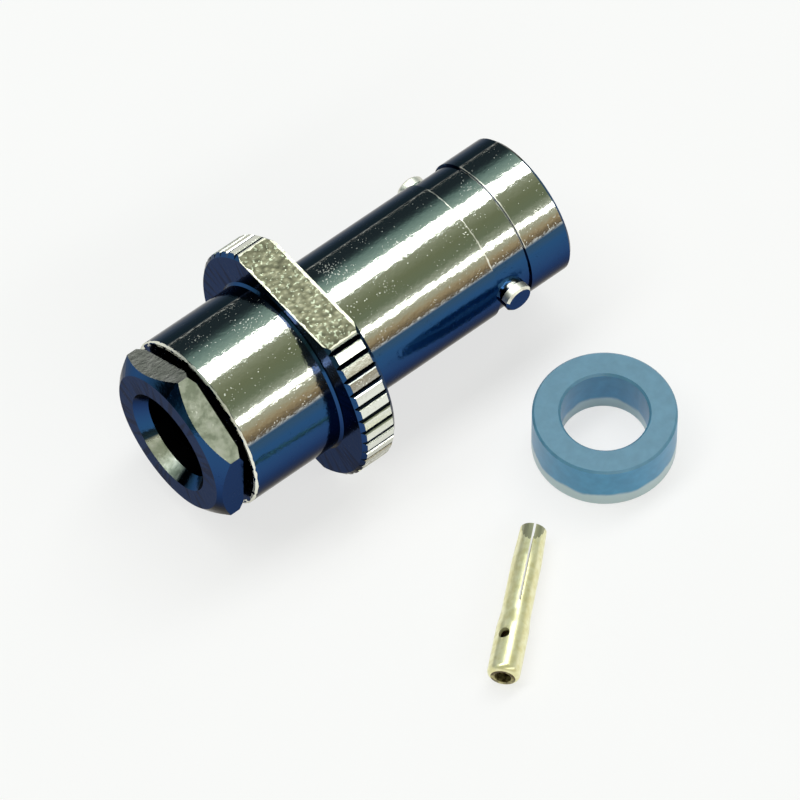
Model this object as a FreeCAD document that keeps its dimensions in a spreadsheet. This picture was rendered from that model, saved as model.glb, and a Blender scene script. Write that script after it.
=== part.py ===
import FreeCAD, Part
import math
import os

import Sketcher

# Bayonet coaxial cable jack, clamp type, as it lies on a bench before it is fitted to a cable.
#
# The frame is X along the jack's axis towards the mating mouth and Z up. The jack lies on the
# lower of the two wrench flats of its flange, and the origin is on that flat, below the middle
# of the knurled rim. Lengths are millimetres and angles are degrees.
#
# Every size that can be set by itself is one row of the sheet. All else is worked out from them.

SIZES = [
    # The flange: a knurled disc with two wrench flats.
    ("flange_across_flats", 13.5, "distance between the two wrench flats"),
    ("flange_diameter", 16.2, "over the knurl"),
    ("flange_width", 2.65, "length of the flange along the axis"),
    ("rim_back_chamfer", 0.25, "on the edge of the rim towards the cable"),
    ("rim_front_chamfer", 0.35, "on its edge towards the mouth"),
    ("root_slope", 0.16, "sloping corner where the barrel and the sleeve meet the flange"),
    ("knurl_count", 50, "straight vee grooves round the rim"),
    ("knurl_width", 0.42, "mouth of one vee groove"),
    ("knurl_depth", 0.26, "depth of one vee groove"),
    # The barrel that the mating plug slides over, with its two bayonet lugs.
    ("barrel_diameter", 9.7, "outside of the barrel"),
    ("barrel_length", 16.675, "front of the flange to the mouth"),
    ("mouth_chamfer", 0.2, "on both edges of the mouth"),
    ("lug_setback", 4.8, "mouth to the middle of the lugs"),
    ("lug_diameter", 1.96, "each round lug"),
    ("lug_height", 0.65, "how far each lug stands out of the barrel"),
    ("lug_chamfer", 0.14, "on the end of each lug"),
    ("band_ahead", 1.55, "middle of the lugs to the front edge of the milled band"),
    ("band_behind", 1.05, "middle of the lugs to its back edge"),
    ("band_depth", 0.16, "how deep the band is milled"),
    # The sleeve at the cable end.
    ("sleeve_wall", 1.3, "sleeve, round the threaded bore"),
    ("sleeve_length", 6.755, "back face to the flange"),
    ("sleeve_chamfer", 0.12, "on the back edge"),
    # The bores, from the mouth to the cable end.
    ("barrel_wall", 0.79, "barrel, round the bore that takes the plug's contact sleeve"),
    ("socket_depth", 8.4, "mouth to the reference plane"),
    ("web_thickness", 1.2, "inner shoulder that carries the insulator"),
    ("core_diameter", 7.2, "bore that holds both insulators"),
    ("thread_diameter", 9.2, "threaded bore at the cable end, at the middle of its thread"),
    ("thread_depth", 7.55, "back face to the clamp's seat"),
    ("thread_chamfer", 0.3, "lead-in of the threaded bore"),
    # The two insulators.
    ("nose_diameter", 4.7, "front insulator where it stands in the socket"),
    ("nose_length", 5.3, "reference plane to the face of the nose"),
    ("collar_length", 2.4, "head of the front insulator, behind the web"),
    ("seat_clearance", 0.04, "radial, between an insulator and its bore"),
    ("contact_clearance", 0.05, "radial, between the contact and its hole"),
    # The clamp set: braid clamp, gasket, washer and clamp nut.
    ("clamp_thickness", 1.0, "disc of the braid clamp"),
    ("clamp_hole", 3.2, "passes the cable's inner insulation"),
    ("clamp_clearance", 0.08, "radial, in the threaded bore"),
    ("gasket_clearance", 0.065, "radial, in the threaded bore"),
    ("gasket_hole", 5.53, "passes the cable's jacket"),
    ("gasket_height", 3.62, "length along its own axis"),
    ("vee_depth", 1.2, "groove of the gasket and ridge of the braid clamp"),
    ("vee_land", 0.237, "flat left on each side of that groove"),
    ("gasket_chamfer", 0.14, "on the gasket's edges"),
    ("washer_thickness", 0.5, "flat washer"),
    ("washer_clearance", 0.1, "radial, in the threaded bore"),
    ("washer_hole", 6.3, "hole of the washer"),
    ("cable_hole", 5.9, "hole of the clamp nut"),
    ("nut_shoulder", 0.5, "flats of the hexagon, outside the threaded bore"),
    ("nut_clocking", 31.0, "turn of the hexagon about the axis"),
    ("head_thickness", 1.87, "hexagon of the clamp nut"),
    ("nut_back_slope", 0.88, "cone turned on the back of the hexagon, along the axis at its corners"),
    ("nut_back_bevel", 1.06, "radial, from the corners in to the foot of that cone"),
    ("nut_front_chamfer", 0.3, "turned on its front corners"),
    ("nut_dish_flare", 0.55, "radial, sunk entry of the cable hole"),
    ("nut_dish_depth", 0.8, "depth of that entry"),
    ("shank_length", 3.75, "threaded shank of the clamp nut"),
    ("thread_clearance", 0.05, "radial, between the shank and the threaded bore"),
    ("nut_gap", 0.4, "left between the hexagon and the sleeve"),
    # The loose female contact.
    ("contact_length", 11.0, "over both ends"),
    ("contact_diameter", 2.06, "solder cup"),
    ("cup_length", 3.5, "solder cup at its full diameter"),
    ("cup_taper", 1.1, "from the cup down to the tines"),
    ("cup_wall", 0.5, "solder cup, round the bore for the cable's inner wire"),
    ("cup_hole_depth", 3.3, "depth of that bore"),
    ("cup_round", 0.38, "rounding of the solder end"),
    ("peep_hole", 0.74, "side hole that shows the solder"),
    ("peep_setback", 2.65, "solder end to the side hole"),
    ("tine_step", 0.1, "radial, from the cup down to the sprung tines"),
    ("tip_set", 0.1, "radial, how far the tips are set inwards"),
    ("tip_length", 2.4, "stretch that is set inwards"),
    ("tine_wall", 0.2, "wall of a tine"),
    ("socket_hole_depth", 6.2, "tip to the bottom of the contact's socket"),
    ("slot_length", 5.8, "tip to the end of each slot"),
    ("slot_width", 0.14, "each slot"),
    ("slot_turn", 31.0, "from the side hole round to the first slot"),
    # Where the loose pieces lie beside the jack.
    ("gasket_x", 13.3, "centre of the gasket"),
    ("gasket_y", -13.71, "centre of the gasket"),
    ("contact_x", 1.26, "middle of the contact"),
    ("contact_y", -19.87, "middle of the contact"),
    ("contact_heading", 40.5, "direction of the contact's tip, from X"),
    ("contact_roll", -24.0, "turn of the contact about its own axis"),
]

doc = FreeCAD.newDocument("cable_jack")
sheet = doc.addObject("Spreadsheet::Sheet", "sizes")
for number, (alias, value, meaning) in enumerate(SIZES, start=1):
    sheet.set("A%d" % number, alias)
    sheet.set("B%d" % number, str(value))
    sheet.set("C%d" % number, meaning)
    sheet.setAlias("B%d" % number, alias)
doc.recompute()


def size(alias):
    return "sizes." + alias


def half(alias):
    return "sizes.%s / 2" % alias


def new_body(name):
    body = doc.addObject("PartDesign::Body", name)
    body.Label = name
    return body


def origin_feature(body, role):
    return next(item for item in body.Origin.OriginFeatures if item.Role == role)


def new_sketch(body, name, plane):
    sketch = body.newObject("Sketcher::SketchObject", name)
    sketch.AttachmentSupport = [(origin_feature(body, plane), "")]
    sketch.MapMode = "FlatFace"
    return sketch


def fix_point(sketch, line, end, along, across):
    """Hold one end of a line, or a circle's centre, at two expressions from the sketch's origin."""
    for kind, axis, place in (("DistanceX", -2, along), ("DistanceY", -1, across)):
        if place == "0":
            sketch.addConstraint(Sketcher.Constraint("PointOnObject", line, end, axis))
        else:
            index = sketch.addConstraint(Sketcher.Constraint(kind, -1, 1, line, end, 1.0))
            sketch.setExpression("Constraints[%d]" % index, place)


def draw_outline(sketch, corners):
    """Draw a closed outline through corners, each a pair of expressions."""
    first = sketch.GeometryCount
    count = len(corners)
    start = [FreeCAD.Vector(math.cos(2 * math.pi * k / count), math.sin(2 * math.pi * k / count), 0)
             for k in range(count)]
    for k in range(count):
        sketch.addGeometry(Part.LineSegment(start[k], start[(k + 1) % count]))
    for k in range(count):
        following = first + (k + 1) % count
        sketch.addConstraint(Sketcher.Constraint("Coincident", first + k, 2, following, 1))
    for k, (along, across) in enumerate(corners):
        fix_point(sketch, first + k, 1, along, across)


def draw_circle(sketch, along, across, diameter):
    circle = sketch.addGeometry(Part.Circle(FreeCAD.Vector(0.1, 0.1, 0), FreeCAD.Vector(0, 0, 1), 1.0))
    fix_point(sketch, circle, 3, along, across)
    index = sketch.addConstraint(Sketcher.Constraint("Diameter", circle, 2.0))
    sketch.setExpression("Constraints[%d]" % index, diameter)


def turn(body, name, kind, corners, plane="XY_Plane", axis="H_Axis"):
    """Revolve an outline about an axis of its own sketch, to add (Revolution) or cut (Groove)."""
    sketch = new_sketch(body, name + "_outline", plane)
    draw_outline(sketch, corners)
    feature = body.newObject("PartDesign::" + kind, name)
    feature.Profile = (sketch, [""])
    feature.ReferenceAxis = (sketch, [axis])
    feature.Angle = 360
    return feature


def cut(body, name, sketch, length, side, reverse=False):
    """Cut a sketch into the body over a length, to one side of its plane or evenly to both."""
    feature = body.newObject("PartDesign::Pocket", name)
    feature.Profile = (sketch, [""])
    feature.Type = "Length"
    feature.SideType = side
    feature.Reversed = reverse
    feature.setExpression("Length", length)
    return feature


def repeat(body, name, feature, count, angle=360):
    """Repeat a cut round the body's own X axis."""
    pattern = body.newObject("PartDesign::PolarPattern", name)
    pattern.Originals = [feature]
    pattern.Axis = (origin_feature(body, "X_Axis"), [""])
    pattern.Angle = angle
    if isinstance(count, str):
        pattern.setExpression("Occurrences", count)
    else:
        pattern.Occurrences = count
    body.Tip = pattern
    return pattern


def ease_edges(body, name, kind, radius_property, radius, wanted):
    """Chamfer or round each circular edge of the body's tip that wanted() picks."""
    doc.recompute()
    base = body.Tip
    names = ["Edge%d" % number for number, edge in enumerate(base.Shape.Edges, start=1)
             if isinstance(edge.Curve, Part.Circle) and wanted(edge)]
    if not names:
        raise RuntimeError(name + " finds no edge")
    feature = body.newObject("PartDesign::" + kind, name)
    feature.Base = (base, names)
    feature.setExpression(radius_property, radius)
    return feature


def value(alias):
    return float(sheet.get(alias))


def same(one, other):
    return abs(one - other) < 1e-4


def lay_on_axis(body, from_back_face, roll="0"):
    """Place a turned piece on the jack's axis, its own origin so far from the sleeve's back face."""
    body.setExpression("Placement", "placement(vector(%s + %s; 0; %s); rotation(0; 0; %s))"
                       % (JACK_X, from_back_face, half("flange_across_flats"), roll))


# Radii that follow from the sizes.
THREAD_RADIUS = half("thread_diameter")
SLEEVE_RADIUS = THREAD_RADIUS + " + " + size("sleeve_wall")
FLANGE_RADIUS = half("flange_diameter")
BARREL_RADIUS = half("barrel_diameter")
SOCKET_RADIUS = BARREL_RADIUS + " - " + size("barrel_wall")
THROAT_RADIUS = half("nose_diameter") + " + " + size("seat_clearance")

# Stations along the axis, measured from the back face of the sleeve.
FLANGE_BACK = size("sleeve_length")
FLANGE_FRONT = FLANGE_BACK + " + " + size("flange_width")
MOUTH = FLANGE_FRONT + " + " + size("barrel_length")
LUGS = MOUTH + " - " + size("lug_setback")
BAND_FRONT = LUGS + " + " + size("band_ahead")
BAND_BACK = LUGS + " - " + size("band_behind")
REFERENCE_PLANE = MOUTH + " - " + size("socket_depth")
WEB_BACK = REFERENCE_PLANE + " - " + size("web_thickness")
COLLAR_BACK = WEB_BACK + " - " + size("collar_length")
CLAMP_SEAT = size("thread_depth")
JACK_X = "-(%s + %s)" % (FLANGE_BACK, half("flange_width"))

# Shell: one turned and milled piece of brass, nickel plated. Turned outside, then the lugs are
# left by milling the band between them, the rim is knurled, the flats are milled and it is bored.
shell = new_body("jack_shell")
turn(shell, "shell_turning", "Revolution", [
    ("0", "0"),
    ("0", SLEEVE_RADIUS + " - " + size("sleeve_chamfer")),
    (size("sleeve_chamfer"), SLEEVE_RADIUS),
    (FLANGE_BACK, SLEEVE_RADIUS),
    (FLANGE_BACK, FLANGE_RADIUS + " - " + size("rim_back_chamfer")),
    (FLANGE_BACK + " + " + size("rim_back_chamfer"), FLANGE_RADIUS),
    (FLANGE_FRONT + " - " + size("rim_front_chamfer"), FLANGE_RADIUS),
    (FLANGE_FRONT, FLANGE_RADIUS + " - " + size("rim_front_chamfer")),
    (FLANGE_FRONT, BARREL_RADIUS),
    (BAND_BACK, BARREL_RADIUS),
    (BAND_BACK, BARREL_RADIUS + " - " + size("band_depth")),
    (BAND_FRONT, BARREL_RADIUS + " - " + size("band_depth")),
    (BAND_FRONT, BARREL_RADIUS),
    (MOUTH + " - " + size("mouth_chamfer"), BARREL_RADIUS),
    (MOUTH, BARREL_RADIUS + " - " + size("mouth_chamfer")),
    (MOUTH, "0"),
])

back_root = (value("sleeve_length"), value("thread_diameter") / 2 + value("sleeve_wall"))
front_root = (value("sleeve_length") + value("flange_width"), value("barrel_diameter") / 2)
ease_edges(shell, "flange_roots", "Chamfer", "Size", size("root_slope"),
           lambda edge: any(same(edge.Curve.Center.x, station) and same(edge.Curve.Radius, radius)
                            for station, radius in (back_root, front_root)))

lug_sketch = new_sketch(shell, "lug_circle", "XZ_Plane")
draw_circle(lug_sketch, LUGS, "0", size("lug_diameter"))
lugs = shell.newObject("PartDesign::Pad", "lugs")
lugs.Profile = (lug_sketch, [""])
lugs.SideType = "Symmetric"
lugs.setExpression("Length", size("barrel_diameter") + " + 2 * " + size("lug_height"))
lug_end = value("barrel_diameter") / 2 + value("lug_height")
ease_edges(shell, "lug_ends", "Chamfer", "Size", size("lug_chamfer"),
           lambda edge: same(abs(edge.Curve.Center.y), lug_end))

knurl_sketch = new_sketch(shell, "knurl_vee", "YZ_Plane")
draw_outline(knurl_sketch, [
    ("0", FLANGE_RADIUS + " - " + size("knurl_depth")),
    (size("knurl_width"), FLANGE_RADIUS + " + " + size("knurl_depth")),
    ("-" + size("knurl_width"), FLANGE_RADIUS + " + " + size("knurl_depth")),
])
knurl_vee = cut(shell, "knurl_groove", knurl_sketch, FLANGE_FRONT, "One side", reverse=True)
repeat(shell, "knurl", knurl_vee, size("knurl_count"))

flat_sketch = new_sketch(shell, "flat_cutter", "XZ_Plane")
draw_outline(flat_sketch, [
    ("0", half("flange_across_flats")),
    (FLANGE_FRONT, half("flange_across_flats")),
    (FLANGE_FRONT, size("flange_diameter")),
    ("0", size("flange_diameter")),
])
flat = cut(shell, "wrench_flat", flat_sketch, size("flange_diameter"), "Symmetric")
repeat(shell, "wrench_flats", flat, 2)

turn(shell, "shell_bore", "Groove", [
    ("0", "0"),
    ("0", THREAD_RADIUS + " + " + size("thread_chamfer")),
    (size("thread_chamfer"), THREAD_RADIUS),
    (CLAMP_SEAT, THREAD_RADIUS),
    (CLAMP_SEAT, half("core_diameter")),
    (WEB_BACK, half("core_diameter")),
    (WEB_BACK, THROAT_RADIUS),
    (REFERENCE_PLANE, THROAT_RADIUS),
    (REFERENCE_PLANE, SOCKET_RADIUS),
    (MOUTH + " - " + size("mouth_chamfer"), SOCKET_RADIUS),
    (MOUTH, SOCKET_RADIUS + " + " + size("mouth_chamfer")),
    (MOUTH, "0"),
])
lay_on_axis(shell, "0")

# Front insulator: turned from white fluoropolymer rod. Its collar sits behind the web and its
# nose stands in the socket, with the hole for the contact's tines through both.
front_insulator = new_body("front_insulator")
CONTACT_HOLE = half("contact_diameter") + " + " + size("contact_clearance")
COLLAR_RADIUS = half("core_diameter") + " - " + size("seat_clearance")
NOSE_END = "%s + %s + %s" % (size("collar_length"), size("web_thickness"), size("nose_length"))
turn(front_insulator, "front_insulator_turning", "Revolution", [
    ("0", CONTACT_HOLE),
    ("0", COLLAR_RADIUS),
    (size("collar_length"), COLLAR_RADIUS),
    (size("collar_length"), half("nose_diameter")),
    (NOSE_END + " - " + size("mouth_chamfer"), half("nose_diameter")),
    (NOSE_END, half("nose_diameter") + " - " + size("mouth_chamfer")),
    (NOSE_END, CONTACT_HOLE),
])
lay_on_axis(front_insulator, COLLAR_BACK)

# Rear insulator: a plain bush that fills the core bore between the front insulator and the clamp.
rear_insulator = new_body("rear_insulator")
BUSH_LENGTH = COLLAR_BACK + " - " + CLAMP_SEAT
turn(rear_insulator, "rear_insulator_turning", "Revolution", [
    ("0", CONTACT_HOLE),
    ("0", COLLAR_RADIUS),
    (BUSH_LENGTH, COLLAR_RADIUS),
    (BUSH_LENGTH, CONTACT_HOLE),
])
lay_on_axis(rear_insulator, CLAMP_SEAT)

# Braid clamp: a brass disc that seats on the step of the threaded bore. The ridge on its cable
# side bites into the gasket's groove, with the cable's braid spread between them.
braid_clamp = new_body("braid_clamp")
GASKET_RADIUS = THREAD_RADIUS + " - " + size("gasket_clearance")
VEE_RADIUS = "(%s + %s) / 2" % (GASKET_RADIUS, half("gasket_hole"))
VEE_INSIDE = half("gasket_hole") + " + " + size("vee_land")
VEE_OUTSIDE = GASKET_RADIUS + " - " + size("vee_land")
CLAMP_RADIUS = THREAD_RADIUS + " - " + size("clamp_clearance")
CLAMP_FRONT = size("vee_depth") + " + " + size("clamp_thickness")
turn(braid_clamp, "braid_clamp_turning", "Revolution", [
    (size("vee_depth"), half("clamp_hole")),
    (size("vee_depth"), VEE_INSIDE),
    ("0", VEE_RADIUS),
    (size("vee_depth"), VEE_OUTSIDE),
    (size("vee_depth"), CLAMP_RADIUS),
    (CLAMP_FRONT, CLAMP_RADIUS),
    (CLAMP_FRONT, half("clamp_hole")),
])
lay_on_axis(braid_clamp, "%s - (%s)" % (CLAMP_SEAT, CLAMP_FRONT))

# Flat washer: it lies against the end of the nut's shank, so that the gasket isn't twisted.
SHANK_END = size("shank_length") + " - " + size("nut_gap")
flat_washer = new_body("flat_washer")
WASHER_RADIUS = THREAD_RADIUS + " - " + size("washer_clearance")
turn(flat_washer, "washer_turning", "Revolution", [
    ("0", half("washer_hole")),
    ("0", WASHER_RADIUS),
    (size("washer_thickness"), WASHER_RADIUS),
    (size("washer_thickness"), half("washer_hole")),
])
lay_on_axis(flat_washer, SHANK_END)

# Clamp nut: turned from hexagon bar. The back of the hexagon is turned to a cone and its front
# corners are chamfered; the shank is threaded, and the entry for the cable is sunk.
clamp_nut = new_body("clamp_nut")
CORNER_RADIUS = "(%s + %s) * 2 / sqrt(3)" % (THREAD_RADIUS, size("nut_shoulder"))
SHANK_RADIUS = THREAD_RADIUS + " - " + size("thread_clearance")
NUT_LENGTH = size("head_thickness") + " + " + size("shank_length")
turn(clamp_nut, "nut_turning", "Revolution", [
    ("0", half("cable_hole") + " + " + size("nut_dish_flare")),
    ("0", CORNER_RADIUS + " - " + size("nut_back_bevel")),
    (size("nut_back_slope"), CORNER_RADIUS),
    (size("head_thickness") + " - " + size("nut_front_chamfer"), CORNER_RADIUS),
    (size("head_thickness"), CORNER_RADIUS + " - " + size("nut_front_chamfer")),
    (size("head_thickness"), SHANK_RADIUS),
    (NUT_LENGTH + " - " + size("thread_chamfer"), SHANK_RADIUS),
    (NUT_LENGTH, SHANK_RADIUS + " - " + size("thread_chamfer")),
    (NUT_LENGTH, half("cable_hole")),
    (size("nut_dish_depth"), half("cable_hole")),
])
hexagon_sketch = new_sketch(clamp_nut, "hexagon", "YZ_Plane")
draw_outline(hexagon_sketch, [
    ("%s * cos(%d)" % (CORNER_RADIUS, corner * 60), "%s * sin(%d)" % (CORNER_RADIUS, corner * 60))
    for corner in range(6)
])
draw_circle(hexagon_sketch, "0", "0", "3 * " + CORNER_RADIUS)
cut(clamp_nut, "hexagon_flats", hexagon_sketch, size("head_thickness"), "One side", reverse=True)
lay_on_axis(clamp_nut, "(-%s - %s)" % (size("nut_gap"), size("head_thickness")), size("nut_clocking"))

# Gasket: a moulded ring of translucent silicone, taken out of the jack and laid on its grooved face.
v_gasket = new_body("v_gasket")
turn(v_gasket, "gasket_moulding", "Revolution", [
    (half("gasket_hole"), size("gasket_chamfer")),
    (half("gasket_hole") + " + " + size("gasket_chamfer"), "0"),
    (VEE_INSIDE, "0"),
    (VEE_RADIUS, size("vee_depth")),
    (VEE_OUTSIDE, "0"),
    (GASKET_RADIUS + " - " + size("gasket_chamfer"), "0"),
    (GASKET_RADIUS, size("gasket_chamfer")),
    (GASKET_RADIUS, size("gasket_height") + " - " + size("gasket_chamfer")),
    (GASKET_RADIUS + " - " + size("gasket_chamfer"), size("gasket_height")),
    (half("gasket_hole") + " + " + size("gasket_chamfer"), size("gasket_height")),
    (half("gasket_hole"), size("gasket_height") + " - " + size("gasket_chamfer")),
], plane="XZ_Plane", axis="V_Axis")
v_gasket.setExpression("Placement", "placement(vector(%s; %s; 0); rotation(0; 0; 0))"
                       % (size("gasket_x"), size("gasket_y")))

# Female contact: turned from gold plated bronze, with a solder cup at one end and four sprung
# tines at the other.
contact = new_body("socket_contact")
CUP_RADIUS = half("contact_diameter")
CUP_HOLE_RADIUS = CUP_RADIUS + " - " + size("cup_wall")
TINE_RADIUS = CUP_RADIUS + " - " + size("tine_step")
TIP_RADIUS = TINE_RADIUS + " - " + size("tip_set")
TINES_BACK = size("cup_length") + " + " + size("cup_taper")
TIPS_BACK = size("contact_length") + " - " + size("tip_length")
SOCKET_FLOOR = size("contact_length") + " - " + size("socket_hole_depth")
turn(contact, "contact_turning", "Revolution", [
    ("0", "0"),
    ("0", CUP_RADIUS),
    (size("cup_length"), CUP_RADIUS),
    (TINES_BACK, TINE_RADIUS),
    (TIPS_BACK, TINE_RADIUS),
    (size("contact_length"), TIP_RADIUS),
    (size("contact_length"), "0"),
])
ease_edges(contact, "solder_end", "Fillet", "Radius", size("cup_round"),
           lambda edge: same(edge.Curve.Center.x, 0))
turn(contact, "solder_bore", "Groove", [
    ("0", "0"),
    ("0", CUP_HOLE_RADIUS),
    (size("cup_hole_depth"), CUP_HOLE_RADIUS),
    (size("cup_hole_depth"), "0"),
])
turn(contact, "contact_socket", "Groove", [
    (SOCKET_FLOOR, "0"),
    (SOCKET_FLOOR, TINE_RADIUS + " - " + size("tine_wall")),
    (TIPS_BACK, TINE_RADIUS + " - " + size("tine_wall")),
    (size("contact_length"), TIP_RADIUS + " - " + size("tine_wall")),
    (size("contact_length"), "0"),
])
peep_sketch = new_sketch(contact, "peep_circle", "XY_Plane")
draw_circle(peep_sketch, size("peep_setback"), "0", size("peep_hole"))
cut(contact, "peep", peep_sketch, size("contact_diameter"), "One side", reverse=True)
slot_sketch = new_sketch(contact, "slot_outline", "XY_Plane")
slot_sketch.setExpression(
    "AttachmentOffset", "placement(vector(0; 0; 0); rotation(0; 0; %s))" % size("slot_turn"))
SLOT_BACK = size("contact_length") + " - " + size("slot_length")
draw_outline(slot_sketch, [
    (SLOT_BACK, "-" + half("slot_width")),
    (size("contact_length"), "-" + half("slot_width")),
    (size("contact_length"), half("slot_width")),
    (SLOT_BACK, half("slot_width")),
])
slot = cut(contact, "slot", slot_sketch, "2 * " + size("contact_diameter"), "Symmetric")
repeat(contact, "slots", slot, 2, angle=90)

# The contact's axis dips towards the tips: it lies on the rim of its cup and where the tips bend in.
DIP = "asin(%s / (%s - %s))" % (size("tine_step"), TIPS_BACK, size("cup_length"))
BACK_OF_MIDDLE = half("contact_length")
contact.setExpression(
    "Placement",
    "placement(vector(%s - %s * cos(%s); %s - %s * sin(%s); %s / cos(%s) + %s * tan(%s)); "
    "rotation(%s; %s; %s))"
    % (size("contact_x"), BACK_OF_MIDDLE, size("contact_heading"),
       size("contact_y"), BACK_OF_MIDDLE, size("contact_heading"),
       CUP_RADIUS, DIP, size("cup_length"), DIP,
       size("contact_heading"), DIP, size("contact_roll")))

doc.recompute()

PIECES = [shell, front_insulator, rear_insulator, braid_clamp, flat_washer, clamp_nut, v_gasket, contact]

for item in doc.Objects:
    faults = [state for state in item.State if state in ("Invalid", "Error")]
    if faults:
        raise RuntimeError("%s: %s" % (item.Name, faults))
for piece in PIECES:
    if piece.Shape.isNull() or not piece.Shape.isValid():
        raise RuntimeError(piece.Label + " has no valid shape")
    if len(piece.Shape.Solids) != 1:
        raise RuntimeError(piece.Label + " isn't one solid")

os.makedirs("parts", exist_ok=True)
for piece in PIECES:
    piece.Shape.exportStep("parts/%s.step" % piece.Label)
    box = piece.Shape.optimalBoundingBox()
    print("%-16s %8.2f mm3  x %.2f %.2f  y %.2f %.2f  z %.2f %.2f"
          % (piece.Label, piece.Shape.Volume, box.XMin, box.XMax, box.YMin, box.YMax, box.ZMin, box.ZMax))
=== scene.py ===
import math

import bmesh
import bpy
from mathutils import Matrix, Vector


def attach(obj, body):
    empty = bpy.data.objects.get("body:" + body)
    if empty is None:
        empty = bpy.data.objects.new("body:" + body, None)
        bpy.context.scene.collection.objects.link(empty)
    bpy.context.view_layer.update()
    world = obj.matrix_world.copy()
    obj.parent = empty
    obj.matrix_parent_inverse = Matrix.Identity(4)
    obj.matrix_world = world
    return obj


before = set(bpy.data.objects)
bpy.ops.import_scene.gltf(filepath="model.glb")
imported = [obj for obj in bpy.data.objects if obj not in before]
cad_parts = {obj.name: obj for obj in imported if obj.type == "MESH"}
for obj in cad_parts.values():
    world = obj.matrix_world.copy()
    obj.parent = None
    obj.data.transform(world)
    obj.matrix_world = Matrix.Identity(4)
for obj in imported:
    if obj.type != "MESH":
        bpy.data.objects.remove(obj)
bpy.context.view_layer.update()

# The bench, the camera and the light. The jack lies on a plain pale bench, and the camera looks
# down on it from behind its cable end through a long lens, as the photograph does. Two long strip
# lamps hang along the jack and a dim room surrounds it, so that its metal shows bright streaks.


def fill(tree, node, inputs):
    """Fill a node's inputs, each named or numbered, with values or other nodes' outputs."""
    for socket, value in dict(inputs).items():
        if isinstance(value, bpy.types.NodeSocket):
            tree.links.new(value, node.inputs[socket])
        else:
            node.inputs[socket].default_value = value
    return node


def add(tree, kind, inputs=(), **settings):
    """Add a shader node with its settings and inputs."""
    made = tree.nodes.new("ShaderNode" + kind)
    for name, setting in settings.items():
        setattr(made, name, setting)
    return fill(tree, made, inputs)


def calc(tree, operation, *values):
    return add(tree, "Math", enumerate(values), operation=operation).outputs[0]


def blend(tree, share, first, second):
    """Mix two colours by a share."""
    return add(tree, "Mix", {0: share, 6: first, 7: second}, data_type="RGBA").outputs[2]


def ramp(tree, place, stops):
    """A colour ramp over stops of (place, colour)."""
    made = add(tree, "ValToRGB", {0: place})
    points = made.color_ramp.elements
    while len(points) < len(stops):
        points.new(0.5)
    for point, (position, colour) in zip(points, stops):
        point.position = position
        point.color = (*colour, 1)
    return made.outputs[0]


def seen(tree):
    """1 where a ray comes from the camera or off gloss or glass, so metal shows the same bench."""
    path = add(tree, "LightPath").outputs
    either = calc(tree, "MAXIMUM", path["Is Camera Ray"], path["Is Glossy Ray"])
    return calc(tree, "MAXIMUM", either, path["Is Transmission Ray"])


TO_CAMERA = Vector((-0.3486, -0.4275, 0.8341)).normalized()
CAMERA_DISTANCE = 0.5736
LOOKS_AT = Vector((0.003019, -0.006202, 0.0060))
camera = bpy.data.objects.new("camera", bpy.data.cameras.new("camera"))
camera.data.sensor_width = 36
camera.data.lens = 417.8
camera.data.clip_start = 0.05
bpy.context.scene.collection.objects.link(camera)
right = Vector((0, 0, 1)).cross(TO_CAMERA).normalized()
up = TO_CAMERA.cross(right)
camera.matrix_world = Matrix.Translation(LOOKS_AT + CAMERA_DISTANCE * TO_CAMERA) @ Matrix(
    (right, up, TO_CAMERA)).transposed().to_4x4()
bpy.context.scene.camera = camera

BENCH_SIZE = 8
BENCH_GLOW = 0.68
bpy.ops.mesh.primitive_plane_add(size=BENCH_SIZE)
bench = bpy.context.object
bench.name = "bench_top"
bench_finish = bpy.data.materials.new("pale_bench")
bench_finish.use_nodes = True
tree = bench_finish.node_tree
tree.nodes.clear()
place = add(tree, "TexCoord").outputs["Object"]
mottle = add(tree, "TexNoise", {"Vector": place, "Scale": 60.0, "Detail": 3.0}).outputs[0]
pale_greys = ramp(tree, mottle, [(0.3, (0.90, 0.90, 0.90)), (0.7, (0.92, 0.92, 0.92))])
matt = add(tree, "BsdfDiffuse", {"Color": pale_greys})
glow = add(tree, "Emission", {"Color": (1, 1, 1, 1), "Strength": 1.0})
share = calc(tree, "MULTIPLY", seen(tree), BENCH_GLOW)
mixed = add(tree, "MixShader", {0: share, 1: matt.outputs[0], 2: glow.outputs[0]})
add(tree, "OutputMaterial", {"Surface": mixed.outputs[0]})
bench.data.materials.append(bench_finish)

LAMP_DISTANCE, LAMP_LENGTH, LAMP_FORWARD = 1.2, 2.2, 0.15


def strip_lamp(name, height_angle, width_angle, brightness):
    """A long lamp over the jack. Its height is an angle from +Y, its width one at the jack."""
    angle = math.radians(height_angle)
    light = bpy.data.lights.new(name, "AREA")
    light.shape = "RECTANGLE"
    light.size = LAMP_LENGTH
    light.size_y = 2 * LAMP_DISTANCE * math.tan(math.radians(width_angle / 2))
    light.energy = brightness * math.pi * light.size * light.size_y
    lamp = bpy.data.objects.new(name, light)
    lamp.location = (LAMP_FORWARD, LAMP_DISTANCE * math.cos(angle), LAMP_DISTANCE * math.sin(angle))
    lamp.rotation_euler = (angle - math.pi / 2, 0, 0)
    bpy.context.scene.collection.objects.link(lamp)


strip_lamp("strip_overhead", height_angle=75, width_angle=18, brightness=5.0)
strip_lamp("strip_near", height_angle=144, width_angle=6.5, brightness=5.0)

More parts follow.
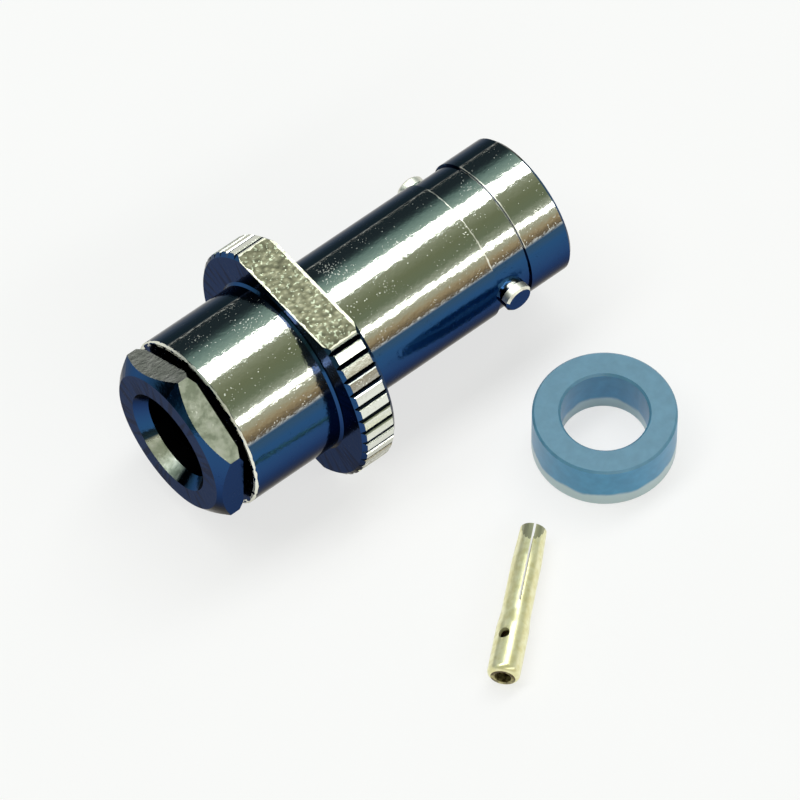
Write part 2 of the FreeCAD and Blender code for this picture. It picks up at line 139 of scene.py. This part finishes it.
# The dim room: its walls by the angle round the jack's axis, and a bright strip at the skyline.
SKYLINE, SKYLINE_WHITE = 0.0675, (0.97, 0.97, 0.97, 1)
room = bpy.data.worlds.new("dim_room")
bpy.context.scene.world = room
room.use_nodes = True
tree = room.node_tree
tree.nodes.clear()
towards = add(tree, "SeparateXYZ", {0: add(tree, "TexCoord").outputs["Generated"]}).outputs
turned = calc(tree, "DIVIDE", calc(tree, "ARCTAN2", towards["Z"], towards["Y"]), math.pi)
walls = ramp(tree, turned, [
    (0.03, (0.012, 0.020, 0.026)),
    (0.16, (0.014, 0.022, 0.028)),
    (0.20, (0.030, 0.050, 0.054)),
    (0.25, (0.13, 0.20, 0.19)),
    (0.34, (0.24, 0.34, 0.31)),
    (0.50, (0.24, 0.26, 0.18)),
    (0.60, (0.15, 0.17, 0.10)),
    (0.70, (0.14, 0.17, 0.11)),
    (0.76, (0.30, 0.33, 0.26)),
    (0.86, (0.36, 0.35, 0.26)),
    (0.91, (0.33, 0.25, 0.15)),
    (0.96, (0.11, 0.08, 0.05)),
])
skyline = calc(tree, "LESS_THAN", calc(tree, "ABSOLUTE", towards["Z"]), SKYLINE)
add(tree, "OutputWorld", {"Surface": add(tree, "Background", {
    "Color": blend(tree, skyline, walls, SKYLINE_WHITE), "Strength": 1.0}).outputs[0]})


# Shell: a body of brass, turned from bar, knurled, milled and plated with bright nickel. The wrench
# flats keep the coarse grain of the saw, and the edges are bright where the plating is rubbed, with
# a painted highlight on the band's edges and the lugs' tops where they face up. What faces down or
# aside is given the deep blue that the photograph shows on the plating: a painted reflection of blue
# surroundings, not the nickel's own colour.

NICKEL = (0.84, 0.86, 0.78, 1)
NICKEL_EDGE = (0.52, 0.50, 0.46, 1)
AXIS_HEIGHT = 0.00675
THREAD_PITCH = 0.00079375
GRAIN_SIZE = 0.00030


def new_group(name, inputs, outputs):
    """A node group with inputs of (name, kind, value) and outputs of (name, kind)."""
    group = bpy.data.node_groups.new(name, "ShaderNodeTree")
    for socket, kind, value in inputs:
        made = group.interface.new_socket(socket, in_out="INPUT", socket_type="NodeSocket" + kind)
        made.default_value = value
    for socket, kind in outputs:
        group.interface.new_socket(socket, in_out="OUTPUT", socket_type="NodeSocket" + kind)
    given = group.nodes.new("NodeGroupInput").outputs
    put = group.nodes.new("NodeGroupOutput").inputs
    return group, given, put


def use(tree, group, inputs):
    made = tree.nodes.new("ShaderNodeGroup")
    made.node_tree = group
    return fill(tree, made, inputs).outputs


def all_of(tree, *masks):
    """1 where every mask is."""
    product = masks[0]
    for mask in masks[1:]:
        product = calc(tree, "MULTIPLY", product, mask)
    return product


def above(tree, value, limit):
    """1 where a value lies above a limit."""
    return calc(tree, "GREATER_THAN", value, limit)


def below(tree, value, limit):
    """1 where a value lies below a limit."""
    return calc(tree, "LESS_THAN", value, limit)


def between(tree, value, low, high):
    """1 where a value lies between two limits."""
    return all_of(tree, above(tree, value, low), below(tree, value, high))


def distance(tree, value, target):
    return calc(tree, "ABSOLUTE", calc(tree, "SUBTRACT", value, target))


def dot(tree, first, second):
    return add(tree, "VectorMath", {0: first, 1: second}, operation="DOT_PRODUCT").outputs["Value"]


def facing(tree, direction):
    """How far the surface faces a direction, from -1 to 1 for a direction of length 1."""
    return dot(tree, add(tree, "NewGeometry").outputs["Normal"], direction)


# Where a point lies on a piece that was turned about the jack's axis. Thread is the height of a
# right-hand thread, from -1 to 1.
round_axis, given, put = new_group(
    "round_axis", [("Place", "Vector", (0, 0, 0)), ("Height", "Float", 0.0)],
    [("Along", "Float"), ("Radius", "Float"), ("Thread", "Float")])
parts = add(round_axis, "SeparateXYZ", {0: given["Place"]}).outputs
over = calc(round_axis, "SUBTRACT", parts["Z"], given["Height"])
aside_squared = calc(round_axis, "MULTIPLY", parts["Y"], parts["Y"])
squares = calc(round_axis, "MULTIPLY_ADD", over, over, aside_squared)
angle = calc(round_axis, "ARCTAN2", calc(round_axis, "MULTIPLY", parts["Y"], -1.0), over)
turn = calc(round_axis, "MULTIPLY_ADD", angle, 0.5 / math.pi, 0.5)
pitches = calc(round_axis, "DIVIDE", parts["X"], THREAD_PITCH)
winding = calc(round_axis, "MULTIPLY", calc(round_axis, "SUBTRACT", pitches, turn), 2 * math.pi)
round_axis.links.new(parts["X"], put["Along"])
round_axis.links.new(calc(round_axis, "SQRT", squares), put["Radius"])
round_axis.links.new(calc(round_axis, "SINE", winding), put["Thread"])

# The photograph's deep blue, a painted reflection of blue surroundings in the nickel, painted by how
# far the surface faces up: Upper is 1 where it faces up far enough to keep the plate's own colour.
# The near side, towards -Y, has blues of its own. End faces are neither near nor far, and rounding
# gives their triangles one or the other.
UP_AND_NEAR = (0, -0.254, 1)
UPPER_FROM, UPPER_FULL = 0.868, 0.892
painted_reflection_blue, given, put = new_group(
    "painted_reflection_blue", [("Plate", "Color", NICKEL)], [("Color", "Color"), ("Upper", "Float")])
raised = calc(painted_reflection_blue, "MULTIPLY_ADD", facing(painted_reflection_blue, UP_AND_NEAR), 0.5, 0.5)
far_blues = ramp(painted_reflection_blue, raised, [
    (0.40, (0.012, 0.028, 0.080)),
    (0.52, (0.015, 0.042, 0.125)),
    (0.585, (0.020, 0.071, 0.192)),
    (0.70, (0.020, 0.068, 0.180)),
    (0.757, (0.0152, 0.053, 0.130)),
    (0.79, (0.0103, 0.037, 0.080)),
    (0.82, (0.0075, 0.0222, 0.0437)),
    (0.85, (0.008, 0.0194, 0.030)),
])
near_blues = ramp(painted_reflection_blue, raised, [
    (0.44, (0.010, 0.018, 0.040)),
    (0.54, (0.0125, 0.034, 0.105)),
    (0.63, (0.0165, 0.046, 0.140)),
    (0.70, (0.020, 0.060, 0.165)),
    (0.82, (0.0212, 0.078, 0.190)),
    (0.855, (0.032, 0.080, 0.150)),
])
near_side = below(painted_reflection_blue, facing(painted_reflection_blue, (0, 1, 0)), 0.0)
blues = blend(painted_reflection_blue, near_side, far_blues, near_blues)
upper = add(painted_reflection_blue, "MapRange", {0: raised, 1: UPPER_FROM, 2: UPPER_FULL},
            interpolation_type="SMOOTHSTEP").outputs[0]
painted_reflection_blue.links.new(blend(painted_reflection_blue, upper, blues, given["Plate"]), put["Color"])
painted_reflection_blue.links.new(upper, put["Upper"])

# The ripple of the plating, and the specks that stand in crowds on it.
CROWDING, SPECK_LIMIT, SPECK_HEIGHT = 0.40, 0.94, 0.3
plating, given, put = new_group(
    "plating_grain", [("Place", "Vector", (0, 0, 0)), ("Size", "Float", GRAIN_SIZE)],
    [("Height", "Float"), ("Speck", "Float")])
finer = calc(plating, "DIVIDE", 1.0, given["Size"])
scaled = add(plating, "VectorMath", {0: given["Place"], 3: finer}, operation="SCALE").outputs[0]
ripple = add(plating, "TexNoise", {"Vector": scaled, "Scale": 1.0, "Detail": 3.0}).outputs[0]
pits = add(plating, "TexNoise", {"Vector": scaled, "Scale": 2.4, "Detail": 1.0}).outputs[0]
crowd = add(plating, "TexNoise", {"Vector": scaled, "Scale": 0.22, "Detail": 1.0}).outputs[0]
speck = above(plating, calc(plating, "MULTIPLY_ADD", crowd, CROWDING, pits), SPECK_LIMIT)
plating.links.new(calc(plating, "MULTIPLY_ADD", speck, SPECK_HEIGHT, ripple), put["Height"])
plating.links.new(speck, put["Speck"])

# A rubbed edge: 1 within a ragged width of it.
worn_edge, given, put = new_group(
    "worn_edge",
    [("Away", "Float", 0.0), ("Width", "Float", 0.0001), ("Place", "Vector", (0, 0, 0))],
    [("Worn", "Float")])
RAGGED_SPREAD, RAGGED_LEAST = 3.0, -0.6
patches = add(worn_edge, "TexNoise", {"Vector": given["Place"], "Scale": 1800.0, "Detail": 2.0})
ragged = calc(worn_edge, "MULTIPLY_ADD", patches.outputs[0], RAGGED_SPREAD, RAGGED_LEAST)
reach = calc(worn_edge, "MULTIPLY", given["Width"], ragged)
worn_edge.links.new(below(worn_edge, given["Away"], reach), put["Worn"])


def new_finish(name):
    """A material with a plain Principled BSDF, its tree, its shader and the Object coordinates."""
    finish = bpy.data.materials.new(name)
    finish.use_nodes = True
    tree = finish.node_tree
    return finish, tree, tree.nodes["Principled BSDF"], add(tree, "TexCoord").outputs["Object"]


def plate(tree, shader, colour, rough, height):
    """Give a shader the look of plated metal, with a colour, a roughness and a height of its own."""
    bump = add(tree, "Bump", {"Strength": 0.5, "Distance": 0.00002, "Height": height})
    fill(tree, shader, {"Base Color": colour, "Roughness": rough, "Normal": bump.outputs[0],
                        "Metallic": 1, "Specular Tint": NICKEL_EDGE})


def give(node, finish):
    """Put a finish in every material slot of a CAD node."""
    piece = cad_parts[node]
    for slot in piece.material_slots:
        slot.material = finish


SIDE_ON = 0.2
THREAD_HEIGHT = 4.0
SPECK_ROUGH, SHELL_ROUGH = 0.30, 0.10
RUBBED_ROUGH, RIM_ROUGH, FLAT_ROUGH = 0.32, 0.15, 0.30
shell_finish, tree, shader, place = new_finish("nickel_shell")
turned = use(tree, round_axis, {"Place": place, "Height": AXIS_HEIGHT})
along, radius = turned["Along"], turned["Radius"]
at = add(tree, "SeparateXYZ", {0: place}).outputs
endwise = calc(tree, "ABSOLUTE", facing(tree, (1, 0, 0)))
# The painted reflection: deep blue where the shell faces down or aside.
tinted = use(tree, painted_reflection_blue, {"Plate": NICKEL})
grain = use(tree, plating, {"Place": place, "Size": GRAIN_SIZE})

# The knurled rim: bright nickel crests, with painted shade, nearly black, in the grooves between
# them.
FLANGE_FACE, FACE_SLACK = 0.001325, 0.00001
RIM_INSIDE, GROOVE_OUTSIDE = 0.0077, 0.00803
GROOVE_SHADE = (0.010, 0.016, 0.028, 1)
on_flange = between(tree, along, -FLANGE_FACE - FACE_SLACK, FLANGE_FACE + FACE_SLACK)
rim = all_of(tree, on_flange, below(tree, endwise, SIDE_ON), above(tree, radius, RIM_INSIDE))
groove = calc(tree, "MULTIPLY", rim, below(tree, radius, GROOVE_OUTSIDE))
colour = blend(tree, rim, tinted["Color"], NICKEL)
colour = blend(tree, groove, colour, GROOVE_SHADE)

# The wrench flats: an olive grain with lighter specks, and pale rubbed edges.
FLAT_LEVEL, FLAT_END, FRONT_INSET = 0.00673, 0.004477, 0.00015
OUTLINE_WIDTH = 0.00011
SAWN_HEIGHT, FLECK_LIMIT = 2.5, 0.62
FLECK = (0.50, 0.55, 0.40, 1)
OUTLINE = (0.88, 0.88, 0.70, 1)
flat = all_of(tree, on_flange, above(tree, distance(tree, at["Z"], AXIS_HEIGHT), FLAT_LEVEL))
sawn = add(tree, "TexVoronoi", {"Vector": place, "Scale": 3200.0}, feature="SMOOTH_F1")
sawn = sawn.outputs["Distance"]
sawn_colour = ramp(tree, sawn, [
    (0.15, (0.29, 0.29, 0.20)), (0.45, (0.18, 0.18, 0.115)), (0.75, (0.09, 0.09, 0.06))])
flecks = add(tree, "TexNoise", {"Vector": place, "Scale": 4200.0, "Detail": 2.0}).outputs[0]
sawn_colour = blend(tree, above(tree, flecks, FLECK_LIMIT), sawn_colour, FLECK)
colour = blend(tree, flat, colour, sawn_colour)
from_back = calc(tree, "ADD", along, FLANGE_FACE)
from_front = calc(tree, "SUBTRACT", FLANGE_FACE - FRONT_INSET, along)
from_front = calc(tree, "MULTIPLY", from_front, 2.0)
from_ends = calc(tree, "SUBTRACT", FLAT_END, calc(tree, "ABSOLUTE", at["Y"]))
nearest = calc(tree, "MINIMUM", calc(tree, "MINIMUM", from_back, from_front), from_ends)
outline = use(tree, worn_edge, {"Away": nearest, "Width": OUTLINE_WIDTH, "Place": place})
outline = calc(tree, "MULTIPLY", outline["Worn"], flat)
colour = blend(tree, outline, colour, OUTLINE)

# The rubbed edges of the milled band between the lugs and of the sleeve's end, and the lugs' tops.
# The band's edges are kept only where the surface faces up, so they are wear with a painted
# highlight, and the lugs' tops are a painted highlight, pale where they face up.
BAND_BACK, BAND_FRONT, BAND_INSIDE = 0.01215, 0.01475, 0.0046
LUG_BACK, LUG_ROOT, LUG_FACES_UP = 0.012, 0.0049, 0.2
SLEEVE_END, SLEEVE_INSIDE = -0.00802, 0.0056
RUBBED_WIDTH = 0.00007
WORN_AND_HIGHLIT = (0.95, 0.95, 0.84, 1)
from_band = calc(
    tree, "MINIMUM", distance(tree, along, BAND_FRONT), distance(tree, along, BAND_BACK))
band_edge = use(tree, worn_edge, {"Away": from_band, "Width": RUBBED_WIDTH, "Place": place})
# Kept only where the surface faces up: wear with a painted highlight on the band's edges.
band_edge = all_of(tree, band_edge["Worn"], tinted["Upper"], above(tree, radius, BAND_INSIDE))
# Painted highlight: the lugs' tops are pale where they face up.
lug_top_highlight = all_of(
    tree, above(tree, calc(tree, "ABSOLUTE", at["Y"]), LUG_ROOT),
    above(tree, facing(tree, (0, 0, 1)), LUG_FACES_UP), above(tree, along, LUG_BACK))
from_sleeve = distance(tree, along, SLEEVE_END)
sleeve_end = use(tree, worn_edge, {"Away": from_sleeve, "Width": RUBBED_WIDTH, "Place": place})
sleeve_end = calc(tree, "MULTIPLY", sleeve_end["Worn"], above(tree, radius, SLEEVE_INSIDE))
worn_and_highlit = calc(tree, "MAXIMUM", calc(tree, "MAXIMUM", band_edge, lug_top_highlight), sleeve_end)
colour = blend(tree, worn_and_highlit, colour, WORN_AND_HIGHLIT)

# The thread in the bore for the nut.
BORE_RADIUS, BORE_FRONT = 0.0047, -0.0004
bored = all_of(tree, below(tree, radius, BORE_RADIUS), below(tree, along, BORE_FRONT))
rough = calc(tree, "MULTIPLY_ADD", grain["Speck"], SPECK_ROUGH, SHELL_ROUGH)
for mask, more in ((worn_and_highlit, RUBBED_ROUGH), (rim, RIM_ROUGH), (flat, FLAT_ROUGH)):
    rough = calc(tree, "MULTIPLY_ADD", mask, more, rough)
sawn_flat = calc(tree, "MULTIPLY", flat, sawn)
height = calc(tree, "MULTIPLY_ADD", sawn_flat, SAWN_HEIGHT, grain["Height"])
cut_thread = calc(tree, "MULTIPLY", bored, turned["Thread"])
height = calc(tree, "MULTIPLY_ADD", cut_thread, THREAD_HEIGHT, height)
plate(tree, shader, colour, rough, height)
give("jack_shell", shell_finish)


# Clamp nut: hexagon bar of brass, turned, chamfered, threaded and plated as the shell is. It screws
# into the shell and its shank presses on the washer, the gasket and the cable's braid. The washer
# and the braid clamp are of the same plated brass and share its finish.

GAP_BACK, GAP_FRONT = -0.00850, -0.00805
ENTRY_RADIUS, SHANK_INSIDE, SHANK_OUTSIDE = 0.00298, 0.0045, 0.0047
NUT_SPECK_ROUGH, NUT_ROUGH, STAIN_ROUGH = 0.25, 0.14, 0.18
SHADE_BLACK = (0.010, 0.012, 0.016, 1)
nut_finish, tree, shader, place = new_finish("nickel_nut")
turned = use(tree, round_axis, {"Place": place, "Height": AXIS_HEIGHT})
along, radius = turned["Along"], turned["Radius"]
endwise = calc(tree, "ABSOLUTE", facing(tree, (1, 0, 0)))
# The painted reflection: deep blue where the nut, the washer and the braid clamp face down or aside.
tinted = use(tree, painted_reflection_blue, {"Plate": NICKEL})
grain = use(tree, plating, {"Place": place, "Size": GRAIN_SIZE})

# The upper facets are stained. The hole for the cable, and the shank in the gap that the nut leaves
# to the sleeve at rest, are painted nearly black, as they look in the photograph: painted shade in
# the hole and the gap.
stains = add(tree, "TexNoise", {"Vector": place, "Scale": 1500.0, "Detail": 3.0}).outputs[0]
stained = ramp(tree, stains, [
    (0.38, (0.50, 0.55, 0.44)), (0.55, (0.80, 0.84, 0.72)), (0.70, (0.95, 0.97, 0.88))])
facet = calc(tree, "MULTIPLY", tinted["Upper"], below(tree, along, GAP_BACK))
colour = blend(tree, facet, tinted["Color"], stained)
# Painted shade: nearly black in the cable hole and on the shank in the gap at rest.
hole = all_of(tree, below(tree, radius, ENTRY_RADIUS), below(tree, endwise, SIDE_ON))
dark = calc(tree, "MAXIMUM", hole, between(tree, along, GAP_BACK, GAP_FRONT))
dark = calc(tree, "MULTIPLY", dark, below(tree, radius, SHANK_OUTSIDE))
colour = blend(tree, dark, colour, SHADE_BLACK)
shank = all_of(tree, above(tree, along, GAP_FRONT), above(tree, radius, SHANK_INSIDE))
rough = calc(tree, "MULTIPLY_ADD", grain["Speck"], NUT_SPECK_ROUGH, NUT_ROUGH)
rough = calc(tree, "MULTIPLY_ADD", facet, STAIN_ROUGH, rough)
cut_thread = calc(tree, "MULTIPLY", shank, turned["Thread"])
height = calc(tree, "MULTIPLY_ADD", cut_thread, THREAD_HEIGHT, grain["Height"])
plate(tree, shader, colour, rough, height)
for node in ("clamp_nut", "flat_washer", "braid_clamp"):
    give(node, nut_finish)

# The fine thread on the shank: a low ridge that winds forward in a right-hand screw.
ROOT, CREST, HALF_RIDGE = 0.00453, 0.004585, 0.00026
THREAD_START, THREAD_TURNS, TURN_STEPS = -0.00780, 3.25, 32
WELD_DISTANCE = 0.0000001
ridge = bmesh.new()
corners = [ridge.verts.new((THREAD_START + shift, 0, AXIS_HEIGHT + reach))
           for shift, reach in ((-HALF_RIDGE, ROOT), (0, CREST), (HALF_RIDGE, ROOT))]
steps = round(THREAD_TURNS * TURN_STEPS)
bmesh.ops.spin(ridge, geom=[ridge.faces.new(corners)], cent=(0, 0, AXIS_HEIGHT), axis=(1, 0, 0),
               dvec=(THREAD_PITCH / TURN_STEPS, 0, 0), angle=2 * math.pi * THREAD_TURNS, steps=steps)
bmesh.ops.remove_doubles(ridge, verts=ridge.verts, dist=WELD_DISTANCE)
bmesh.ops.recalc_face_normals(ridge, faces=ridge.faces)
thread_mesh = bpy.data.meshes.new("nut_thread")
ridge.to_mesh(thread_mesh)
ridge.free()
thread_mesh.materials.append(nut_finish)
nut_thread = bpy.data.objects.new("nut_thread", thread_mesh)
bpy.context.scene.collection.objects.link(nut_thread)
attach(nut_thread, "nut")


# Insulators: turned from white fluoropolymer rod, one with the nose that stands in the socket and
# a plain bush behind it. They are pushed in from the cable end and held by the braid clamp.

white_finish, tree, shader, place = new_finish("white_fluoropolymer")
cloud = add(tree, "TexNoise", {"Vector": place, "Scale": 900.0, "Detail": 3.0}).outputs[0]
whites = ramp(tree, cloud, [(0.3, (0.86, 0.86, 0.83)), (0.7, (0.93, 0.93, 0.91))])
fill(tree, shader, {"Base Color": whites, "Roughness": 0.45})
give("front_insulator", white_finish)
give("rear_insulator", white_finish)


# Gasket: a moulded ring of translucent silicone that seals on the cable's jacket. It lies loose on
# the bench on its grooved face. Its top is painted a greyer blue than its wall, painted light by the
# way each faces, and its foot is painted pale, where the photograph shows light from the bench in
# the
# silicone: painted light.

GASKET_HEIGHT = 0.00362
PALE_SHARE, PALE_WOBBLE, PALE_BLUR = 0.19, 0.20, 0.05
PALE_FOOT = (0.50, 0.62, 0.66, 1)
FACES_UP = 0.7
silicone_finish, tree, shader, place = new_finish("blue_silicone")
at = add(tree, "SeparateXYZ", {0: place}).outputs
height = calc(tree, "DIVIDE", at["Z"], GASKET_HEIGHT)
wobble = add(tree, "TexNoise", {"Vector": place, "Scale": 700.0, "Detail": 2.0}).outputs[0]
border = calc(tree, "MULTIPLY_ADD", wobble, PALE_WOBBLE, PALE_SHARE)
over_border = calc(tree, "SUBTRACT", height, border)
pale = add(tree, "MapRange", {0: over_border, 1: PALE_BLUR, 2: -PALE_BLUR},
           interpolation_type="SMOOTHSTEP").outputs[0]
cloud = add(tree, "TexNoise", {"Vector": place, "Scale": 1500.0, "Detail": 3.0}).outputs[0]
wall = ramp(tree, cloud, [(0.3, (0.040, 0.235, 0.43)), (0.7, (0.052, 0.285, 0.51))])
top = ramp(tree, cloud, [(0.3, (0.086, 0.23, 0.34)), (0.7, (0.105, 0.27, 0.40))])
# Painted light: the top, facing up, is a greyer blue than the wall.
colour = blend(tree, above(tree, facing(tree, (0, 0, 1)), FACES_UP), wall, top)
# Painted light: the pale foot, by height over the bench.
colour = blend(tree, pale, colour, PALE_FOOT)
fill(tree, shader, {
    "Base Color": colour, "Roughness": 0.35, "Subsurface Weight": 0.15,
    "Subsurface Radius": (0.3, 0.6, 1.0), "Subsurface Scale": 0.0006})
give("v_gasket", silicone_finish)


# Contact: turned from bronze, drilled for the wire at one end, slit into four tines at the other,
# and plated with pale gold. It is soldered to the cable's wire and pushed into the insulators.

CONTACT_MIDDLE = (0.00126, -0.01987, 0.00100)
CONTACT_FORWARD = (0.760, 0.649, 0)
CONTACT_ASIDE = (0.649, -0.760, 0)
HOLLOW_RADIUS = 0.00078
SOCKET_INSIDE = (0.42, 0.42, 0.27, 1)
gold_finish, tree, shader, place = new_finish("pale_gold")
from_middle = add(tree, "VectorMath", {0: place, 1: CONTACT_MIDDLE}, operation="SUBTRACT")
from_middle = from_middle.outputs[0]
aside = dot(tree, from_middle, CONTACT_ASIDE)
forward = dot(tree, from_middle, CONTACT_FORWARD)
over = add(tree, "SeparateXYZ", {0: from_middle}).outputs["Z"]
cloud = add(tree, "TexNoise", {"Vector": place, "Scale": 2200.0, "Detail": 3.0}).outputs[0]
gold = ramp(tree, cloud, [(0.35, (0.84, 0.79, 0.42)), (0.62, (0.98, 0.95, 0.62))])
# Inside the hollows the colour is darker: a mottled dark brown in the solder cup and a dull olive
# gold in the socket.
cup = ramp(tree, cloud, [(0.42, (0.070, 0.045, 0.014)), (0.60, (0.50, 0.45, 0.20))])
from_axis = calc(tree, "MULTIPLY_ADD", aside, aside, calc(tree, "MULTIPLY", over, over))
inner = blend(tree, above(tree, forward, 0.0), cup, SOCKET_INSIDE)
colour = blend(tree, below(tree, from_axis, HOLLOW_RADIUS ** 2), gold, inner)
fill(tree, shader, {"Base Color": colour, "Metallic": 0.55, "Roughness": 0.30})
give("socket_contact", gold_finish)

bpy.context.scene.view_settings.view_transform = "Standard"
